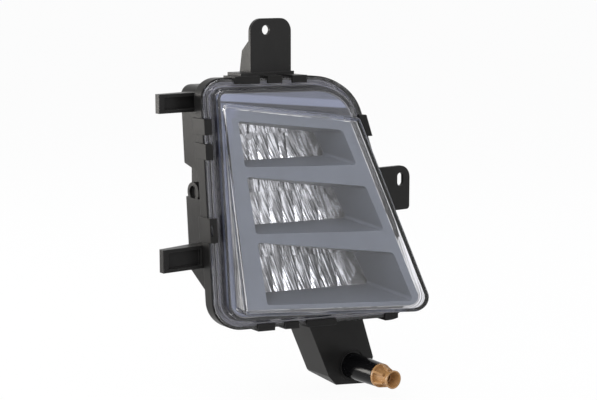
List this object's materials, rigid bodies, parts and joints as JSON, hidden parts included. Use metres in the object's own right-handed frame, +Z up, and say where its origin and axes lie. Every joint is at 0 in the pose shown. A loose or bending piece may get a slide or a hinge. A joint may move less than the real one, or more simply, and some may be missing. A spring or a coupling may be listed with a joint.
{
  "type": "auxiliary driving light",
  "caption": "Swept auxiliary driving light with a clear raked lens over stacked fluted reflectors, fixing ears, guide lugs and a beam height adjuster below.",
  "frame": {"origin": "centre of the upper ear's hole, on the ear's rear seating face", "axes": "+X to the right as seen from in front of the lens, +Y to the rear, +Z up; the beam leaves along -Y"},
  "size_m": [0.1805, 0.1539, 0.2677],
  "materials": {
    "housing_plastic": "fine-grained black moulded plastic",
    "lens_clear": "clear polycarbonate, polished",
    "sealant": "soft black sealing compound",
    "bezel_plastic": "blue-grey satin moulded plastic",
    "reflector_metallised": "vacuum-metallised mirror finish",
    "cast_aluminium": "as-cast, matt",
    "screw_steel": "zinc plated",
    "pin_steel": "ground",
    "bush_acetal": "natural white, waxy",
    "tube_plastic": "glossy black",
    "adjuster_nylon": "tan nylon, satin",
    "seal_rubber": "matt black",
    "cover_plastic": "fine-grained black moulded plastic",
    "circuit_board": "green solder mask",
    "contact_brass": "tinned brass",
    "thermal_pad": "grey silicone",
    "emitter": "phosphor yellow under clear resin"
  },
  "bodies": {
    "housing": {"housing": "housing_plastic", "outer_lens": "lens_clear", "lens_sealant": "sealant", "bezel": "bezel_plastic", "pivot_bush_left": "bush_acetal", "pivot_bush_right": "bush_acetal", "adjuster_bush": "tube_plastic", "adjuster_o_ring": "seal_rubber", "rear_cover": "cover_plastic", "rear_cover_gasket": "seal_rubber", "rear_cover_screws": "screw_steel", "driver_board": "circuit_board", "connector_pins": "contact_brass", "breather_cap": "seal_rubber"},
    "adjuster": {"adjuster": "adjuster_nylon", "adjuster_retainer": "pin_steel"},
    "nut": {"adjuster_nut": "bush_acetal"},
    "carrier": {"reflector_carrier": "cast_aluminium", "reflector_screws": "screw_steel", "pivot_pin_left": "pin_steel", "pivot_pin_right": "pin_steel", "reflector_upper": "reflector_metallised", "led_board_upper": "circuit_board", "thermal_pad_upper": "thermal_pad", "leds_upper": "emitter", "reflector_middle": "reflector_metallised", "led_board_middle": "circuit_board", "thermal_pad_middle": "thermal_pad", "leds_middle": "emitter", "reflector_lower": "reflector_metallised", "led_board_lower": "circuit_board", "thermal_pad_lower": "thermal_pad", "leds_lower": "emitter"}
  },
  "joints": [
    {"name": "adjuster_turn", "type": "hinge", "parent": "housing", "child": "adjuster", "pos_m": [0.07, -0.05, -0.2445], "axis": [0, -1, 0], "range_deg": [-900, 900]},
    {"name": "nut_slide", "type": "slide", "parent": "housing", "child": "nut", "axis": [0, 1, 0], "range_m": [-0.00501, 0.00501]},
    {"name": "reflector_tilt", "type": "hinge", "parent": "housing", "child": "carrier", "pos_m": [0, 0.035, -0.113], "axis": [1, 0, 0], "range_deg": [-2.2, 2.2]}
  ],
  "couplings": [
    {"joint": "nut_slide", "follows": "adjuster_turn", "m_per_rad": 0.00031831},
    {"joint": "reflector_tilt", "follows": "adjuster_turn", "ratio": 0.0024206}
  ]
}
